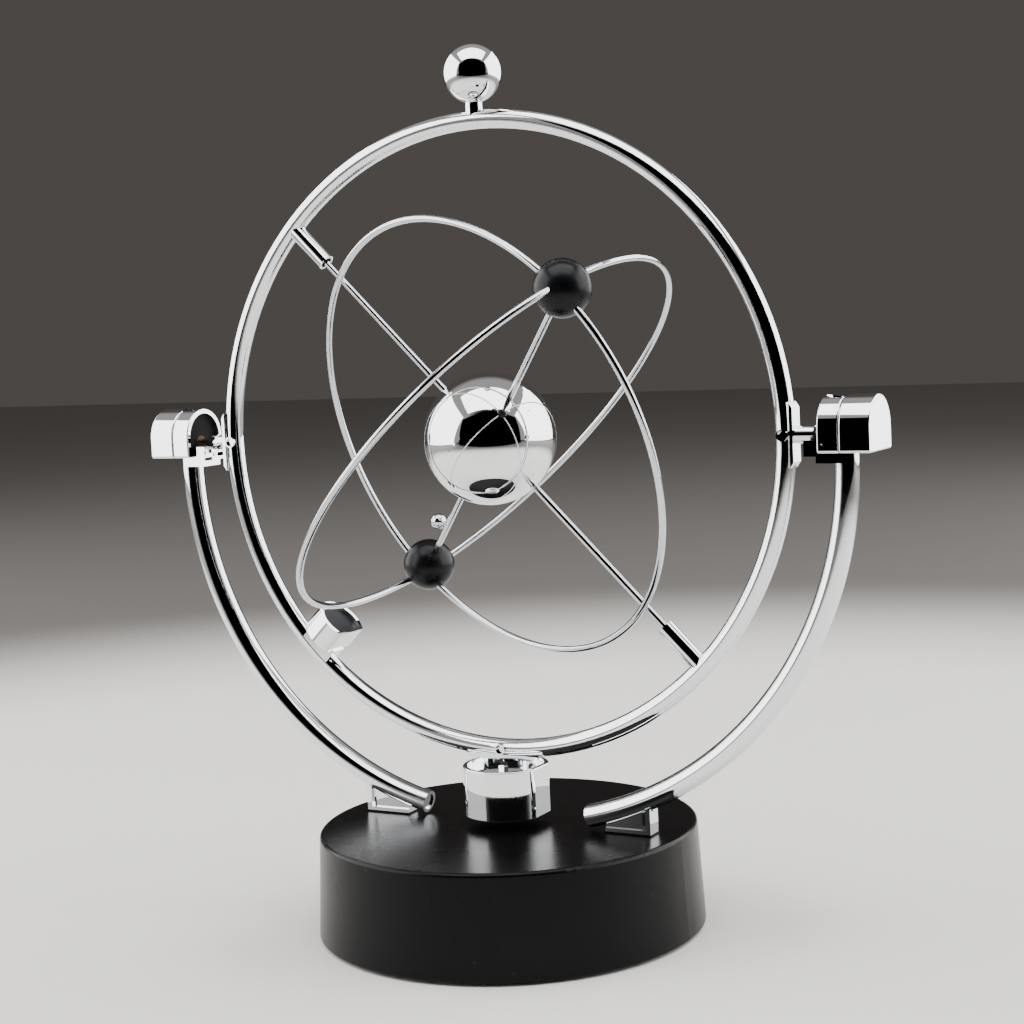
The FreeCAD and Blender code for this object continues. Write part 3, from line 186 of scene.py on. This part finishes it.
def chromed_tube():
    """Hoop and arms: chrome over drawn steel tube. A mirror with wipe marks and small pits along it."""
    material, tree, shader, coords = start("chromed_steel_tube", TUBE_CHROME, 1.0, 0.04)
    uneven_sheen(tree, shader, coords, 14.0, 0.025, 0.085, 5.0, 0.65)
    pits = scattered_specks(tree, shader, coords, 7.0, 0.3, TUBE_CHROME, "#8a8b8e")
    pitted_ripple(tree, shader, coords, 5.0, 0.004, 2.0, pits, 0.02)
    return material


def bright_wire():
    """Orbit wires and rods: nickel-chrome over drawn steel wire. A little greyer and softer than the tube."""
    material, tree, shader, coords = start("nickel_chrome_wire", "#cfd1d6", 1.0, 0.1)
    drift = uneven_sheen(tree, shader, coords, 5.0, 0.06, 0.15, 4.0, GRAIN_BREAKUP)
    tint = add(tree, "ShaderNodeMix",
               {MIX_FIRST: hex_colour("#c2c4c9"), MIX_SECOND: hex_colour("#dbdde1")},
               {MIX_FACTOR: drift}, data_type="RGBA")
    tree.links.new(tint.outputs[MIX_RESULT], shader.inputs["Base Color"])
    fine_relief(tree, shader, coords, 1.2, 0.003)
    return material


def black_ball():
    """Orbit balls: black ABS, tumbled. A soft sheen with handling marks.

    The grain is drawn coarser than the real one, so that it shows.
    """
    material, tree, shader, coords = start(
        "tumbled_black_abs", BALL_BLACK, 0.0, 0.3, Specular_IOR_Level=0.18)
    uneven_sheen(tree, shader, coords, 4.0, 0.22, 0.36)
    scattered_specks(tree, shader, coords, 2.4, 0.3, BALL_BLACK, "#2a2b30")
    fine_relief(tree, shader, coords, 0.5, 0.008)
    return material


def matt_black_nylon():
    """Bearing blocks: black nylon, moulded. Left matt, so the housing's mouth looks empty and dark."""
    material, tree, shader, coords = start(
        "matt_black_nylon", "#050506", 0.0, 0.7, Specular_IOR_Level=0.15)
    fine_relief(tree, shader, coords, 0.4, 0.012)
    return material


def ferrite():
    """Magnets: hard ferrite, pressed and ground. Dark grey with a faint mineral glint."""
    material, tree, shader, coords = start("ground_ferrite", "#2b2c30", 0.6, 0.45)
    uneven_sheen(tree, shader, coords, 0.25, 0.35, 0.6, 2.0, GRAIN_BREAKUP)
    fine_relief(tree, shader, coords, 0.25, 0.01)
    return material


def rubber():
    """Feet: black rubber, moulded. Dead matt with a fine tooth."""
    material, tree, shader, coords = start("moulded_rubber", "#1d1d1d", 0.0, 0.8)
    fine_relief(tree, shader, coords, 0.3, 0.02)
    return material


def plain_metal(name, colour, roughness):
    """A small metal part: even colour, with a sheen that varies a little where it was worked or handled."""
    material, tree, shader, coords = start(name, colour, 1.0, roughness)
    uneven_sheen(tree, shader, coords, 1.5, roughness - 0.06, roughness + 0.1, 4.0, GRAIN_BREAKUP)
    fine_relief(tree, shader, coords, 0.2, 0.003)
    return material


def plain_plastic(name, colour, roughness):
    """A small moulded part: even colour, with the faint tooth of its mould."""
    material, tree, shader, coords = start(name, colour, 0.0, roughness)
    fine_relief(tree, shader, coords, 0.4, 0.01)
    return material


FINISHES = {
    "black_abs": satin_black_abs(),
    "black_rubber": rubber(),
    "zinc_steel": plain_metal("zinc_plated_steel", "#b9bcbf", 0.3),
    "battery_wrap": plain_plastic("printed_battery_wrap", "#27407a", 0.3),
    "contact_steel": plain_metal("nickel_plated_strip", "#c2bfb6", 0.25),
    "bobbin_nylon": plain_plastic("natural_nylon", "#d9d4c4", 0.5),
    "copper_winding": plain_metal("enamelled_copper_wire", "#b4622d", 0.3),
    "core_iron": plain_metal("soft_iron", "#75767a", 0.45),
    "board_laminate": plain_plastic("phenolic_board", "#8a6a35", 0.55),
    "package_epoxy": plain_plastic("moulded_epoxy", "#161616", 0.5),
    "capacitor_can": plain_metal("sleeved_aluminium_can", "#5a6390", 0.35),
    "bush_bronze": plain_metal("oiled_sintered_bronze", "#4b3a26", 0.5),
    "magnet_ferrite": ferrite(),
    "hub_nylon": plain_plastic("moulded_nylon", "#c9c8c2", 0.5),
    "wire_chrome": bright_wire(),
    "plated_chrome": plated_abs(),
    "tube_chrome": chromed_tube(),
}
BALL_FINISH = black_ball()
BLOCK_FINISH = matt_black_nylon()


def dress(node, material):
    """Gives every slot of a CAD node a finish."""
    for slot in nodes[node].material_slots:
        slot.material = material


for part in frame["record"]["subparts"]:
    dress(part["node"], FINISHES[part["material_slot"]])
for side in ("left", "right"):
    dress(side + "_bearing_block", BLOCK_FINISH)
for level in ("upper", "lower"):
    dress(level + "_orbit_ball", BALL_FINISH)


# ---- small pieces made here ------------------------------------------------------
RIDGE_COUNT = 4
RIDGE_PITCH = 1.3 * MM
RIDGE_LENGTH = 13.0 * MM
RIDGE_WIDTH = 0.6 * MM
RIDGE_HEIGHT = 0.5 * MM
RIDGE_BEVEL = 0.3            # of the ridge's width
SMOOTH_ANGLE = 35            # edges sharper than this stay crisp, in degrees
FINGER_MIDDLE = 9.0 * MM    # from the door's edge to the middle of its finger recess
FINGER_DEPTH = 0.8 * MM
BEAD_RADIUS = 2.25 * MM
SOLDER_LENGTH = 1.2 * MM
SOLDER_WAIST = 0.75 * MM
SOLDER_FOOT = 1.15 * MM


def start_piece(name):
    """Names the primitive just added."""
    piece = bpy.context.object
    piece.name = name
    return piece


def select_faces(piece, wanted):
    """Selects the faces whose normals are wanted, and opens the piece in edit mode."""
    bpy.ops.object.mode_set(mode="EDIT")
    bpy.ops.mesh.select_mode(type="FACE")
    bpy.ops.mesh.select_all(action="DESELECT")
    bpy.ops.object.mode_set(mode="OBJECT")
    for face in piece.data.polygons:
        face.select = wanted(face.normal)
    bpy.ops.object.mode_set(mode="EDIT")


def select_ring(piece, height):
    """Selects the vertices at one distance either side of the middle."""
    bpy.ops.object.mode_set(mode="EDIT")
    bpy.ops.mesh.select_mode(type="VERT")
    bpy.ops.mesh.select_all(action="DESELECT")
    bpy.ops.object.mode_set(mode="OBJECT")
    for vertex in piece.data.vertices:
        vertex.select = abs(abs(vertex.co.z) - height) < 0.01 * MM
    bpy.ops.object.mode_set(mode="EDIT")


def finish_piece(piece, body, material):
    """Settles a piece's place into its mesh, dresses it and hangs it on its body."""
    bpy.ops.object.mode_set(mode="OBJECT")
    bpy.ops.object.select_all(action="DESELECT")
    piece.select_set(True)
    bpy.context.view_layer.objects.active = piece
    bpy.ops.object.transform_apply(location=True, rotation=True, scale=True)
    bpy.ops.object.shade_smooth_by_angle(angle=math.radians(SMOOTH_ANGLE))
    piece.data.materials.append(material)
    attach(piece, body)


def make_grip_ridges():
    """Low ridges across the finger recess of the battery door."""
    low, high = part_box("battery_door")
    place = Vector(((low.x + high.x) / 2, high.y - FINGER_MIDDLE,
                    low.z + FINGER_DEPTH - RIDGE_HEIGHT / 2))
    first = place - Vector((0, RIDGE_PITCH * (RIDGE_COUNT - 1) / 2, 0))
    bpy.ops.object.select_all(action="DESELECT")
    bpy.ops.mesh.primitive_cube_add(size=1, location=first)
    ridge = start_piece("door_grip_ridge_1")
    bpy.ops.object.mode_set(mode="EDIT")
    bpy.ops.mesh.select_all(action="SELECT")
    bpy.ops.transform.resize(value=(RIDGE_LENGTH, RIDGE_WIDTH, RIDGE_HEIGHT))
    select_faces(ridge, lambda normal: normal.z < -0.9)
    bpy.ops.mesh.bevel(offset=RIDGE_WIDTH * RIDGE_BEVEL, segments=3)
    bpy.ops.object.mode_set(mode="OBJECT")
    ridges = [ridge]
    for index in range(1, RIDGE_COUNT):
        twin = ridge.copy()
        twin.data = ridge.data.copy()
        twin.name = "door_grip_ridge_%d" % (index + 1)
        twin.location.y += index * RIDGE_PITCH
        bpy.context.scene.collection.objects.link(twin)
        ridges.append(twin)
    for piece in ridges:
        finish_piece(piece, "battery_door", FINISHES["black_abs"])


def make_bead_solder():
    """Fillet of solder between the small bead and the rod that it sits on."""
    bpy.ops.object.select_all(action="DESELECT")
    bpy.ops.mesh.primitive_cylinder_add(vertices=32, radius=SOLDER_FOOT, depth=SOLDER_LENGTH)
    solder = start_piece("bead_solder")
    select_faces(solder, lambda normal: abs(normal.z) < 0.5)
    bpy.ops.mesh.subdivide(number_cuts=3)
    shoulder = (3 * SOLDER_WAIST + SOLDER_FOOT) / 4
    for height, width in ((0.0, SOLDER_WAIST), (SOLDER_LENGTH / 4, shoulder)):
        select_ring(solder, height)
        shrink = width / SOLDER_FOOT
        bpy.ops.transform.resize(value=(shrink, shrink, 1))
    bpy.ops.object.mode_set(mode="OBJECT")
    solder.rotation_mode = "QUATERNION"
    solder.rotation_quaternion = ROD_AXIS.to_track_quat("Z", "Y")
    solder.location = middle("moon_bead") + ROD_AXIS * BEAD_RADIUS
    finish_piece(solder, "orbit_atom", FINISHES["wire_chrome"])


make_grip_ridges()
make_bead_solder()


# ---- studio --------------------------------------------------------------------
FLOOR_SIZE = 6.0
FLOOR_FADE = (0.34, 0.66)      # the pale table darkens between these distances
CLOTH_DISTANCE = 0.7
CLOTH_WIDTH = 1.9
CLOTH_HEIGHT = 0.9
CAMERA_PLACE = Vector((0.26064, -0.45797, 0.16347))
CAMERA_AIM = Vector((0.00558, 0.0, 0.11112))
CAMERA_ROLL = -2.72
CAMERA_VIEW = 28.56
CAMERA_AZIMUTH = 29.65      # measured from the front towards +X
TABLE_NEAR = "#e2e0dc"
TABLE_FAR = "#5c5855"
BACKDROP = "#4f4b48"
WALL = "#a5a3a1"
OPENING = "#060608"
# Direction from the toy as azimuth and elevation, then where the patch is full and where it ends.
BACKDROP_PATCH = (180, 5, 36, 50)
OPENING_PATCH = (0, 6, 46, 54)
PANEL_DISTANCE = 1.1
# Azimuth, elevation, width and height in metres, power in watts.
PANELS = {
    "left_panel": (-99, 20.5, 1.65, 1.07, 23),
    "right_panel": (101, 20.5, 1.75, 1.07, 25),
    "top_panel": (0, 78, 1.5, 0.95, 18),
}


def make_floor():
    """A pale matt table, darker far away where the light falls off."""
    bpy.ops.object.select_all(action="DESELECT")
    bpy.ops.mesh.primitive_plane_add(size=FLOOR_SIZE, location=(0, 0, 0))
    floor = bpy.context.object
    floor.name = "table"
    material, tree, shader, coords = start("pale_table", TABLE_NEAR, 0.0, 0.75)
    reach = add(tree, "ShaderNodeVectorMath", links={0: coords}, operation="LENGTH")
    fade = add(tree, "ShaderNodeMapRange", {"From Min": FLOOR_FADE[0], "From Max": FLOOR_FADE[1]},
               {"Value": reach.outputs["Value"]}, interpolation_type="SMOOTHSTEP")
    colour = add(tree, "ShaderNodeMix",
                 {MIX_FIRST: hex_colour(TABLE_NEAR), MIX_SECOND: hex_colour(TABLE_FAR)},
                 {MIX_FACTOR: fade.outputs["Result"]}, data_type="RGBA")
    tree.links.new(colour.outputs[MIX_RESULT], shader.inputs["Base Color"])
    floor.data.materials.append(material)


def direction_at(azimuth, elevation):
    """Unit direction at an azimuth, measured from the camera's side towards the right."""
    turn = math.radians(CAMERA_AZIMUTH + azimuth)
    lift = math.radians(elevation)
    return Vector((math.sin(turn) * math.cos(lift), -math.cos(turn) * math.cos(lift), math.sin(lift)))


def make_front_cloth():
    """A black cloth hung behind the camera. Only the chrome sees it."""
    bpy.ops.object.select_all(action="DESELECT")
    bpy.ops.mesh.primitive_plane_add(size=1)
    cloth = bpy.context.object
    cloth.name = "black_cloth"
    direction = direction_at(0, 0)
    middle_place = direction * CLOTH_DISTANCE + Vector((0, 0, CLOTH_HEIGHT / 2))
    turn = direction.to_track_quat("Z", "Y").to_matrix().to_4x4()
    size = Matrix.Diagonal((CLOTH_WIDTH, CLOTH_HEIGHT, 1, 1))
    cloth.data.transform(Matrix.Translation(middle_place) @ turn @ size)
    velvet = start("black_velvet", "#010101", 0.0, 1.0, Specular_IOR_Level=0.0)[0]
    cloth.data.materials.append(velvet)
    cloth.visible_camera = False
    cloth.visible_shadow = False


def softbox(name, azimuth, elevation, width, height, power):
    """A rectangular soft light round the toy, aimed at the middle of the hoop."""
    direction = direction_at(azimuth, elevation)
    light = bpy.data.lights.new(name, "AREA")
    light.shape = "RECTANGLE"
    light.size = width
    light.size_y = height
    light.energy = power
    lamp = bpy.data.objects.new(name, light)
    bpy.context.scene.collection.objects.link(lamp)
    lamp.location = PIVOT + direction * PANEL_DISTANCE
    lamp.rotation_euler = direction.to_track_quat("Z", "Y").to_euler()
    lamp.visible_camera = False


def patch_of_sky(tree, coords, patch, around, colour):
    """Paints a round patch of the studio's surroundings. Its edge fades between two angles in degrees."""
    azimuth, elevation, full, fade = patch
    direction = direction_at(azimuth, elevation)
    near = add(tree, "ShaderNodeVectorMath", {1: direction}, {0: coords}, operation="DOT_PRODUCT")
    mask = add(tree, "ShaderNodeMapRange",
               {"From Min": math.cos(math.radians(fade)), "From Max": math.cos(math.radians(full))},
               {"Value": near.outputs["Value"]})
    painted = add(tree, "ShaderNodeMix", {MIX_SECOND: hex_colour(colour)},
                  {MIX_FACTOR: mask.outputs["Result"], MIX_FIRST: around}, data_type="RGBA")
    return painted.outputs[MIX_RESULT]


def make_world():
    """Pale walls all round, a darker backdrop behind the toy and a dark opening where the camera stands."""
    world = bpy.data.worlds.new("studio")
    world.use_nodes = True
    tree = world.node_tree
    coords = add(tree, "ShaderNodeTexCoord").outputs["Generated"]
    walls = add(tree, "ShaderNodeRGB")
    walls.outputs["Color"].default_value = hex_colour(WALL)
    behind = patch_of_sky(tree, coords, BACKDROP_PATCH, walls.outputs["Color"], BACKDROP)
    studio = patch_of_sky(tree, coords, OPENING_PATCH, behind, OPENING)
    tree.links.new(studio, tree.nodes["Background"].inputs["Color"])
    bpy.context.scene.world = world


def make_camera():
    """The viewpoint: a little right of the front, tilted slightly."""
    data = bpy.data.cameras.new("viewpoint")
    data.angle = math.radians(CAMERA_VIEW)
    data.clip_start = 0.01
    camera = bpy.data.objects.new("viewpoint", data)
    bpy.context.scene.collection.objects.link(camera)
    away = (CAMERA_PLACE - CAMERA_AIM).normalized()
    level = away.to_track_quat("Z", "Y").to_matrix()
    roll = Matrix.Rotation(math.radians(CAMERA_ROLL), 3, "Z")
    camera.matrix_world = Matrix.Translation(CAMERA_PLACE) @ (level @ roll).to_4x4()
    bpy.context.scene.camera = camera


make_floor()
make_front_cloth()
for panel, settings in PANELS.items():
    softbox(panel, *settings)
make_world()
make_camera()
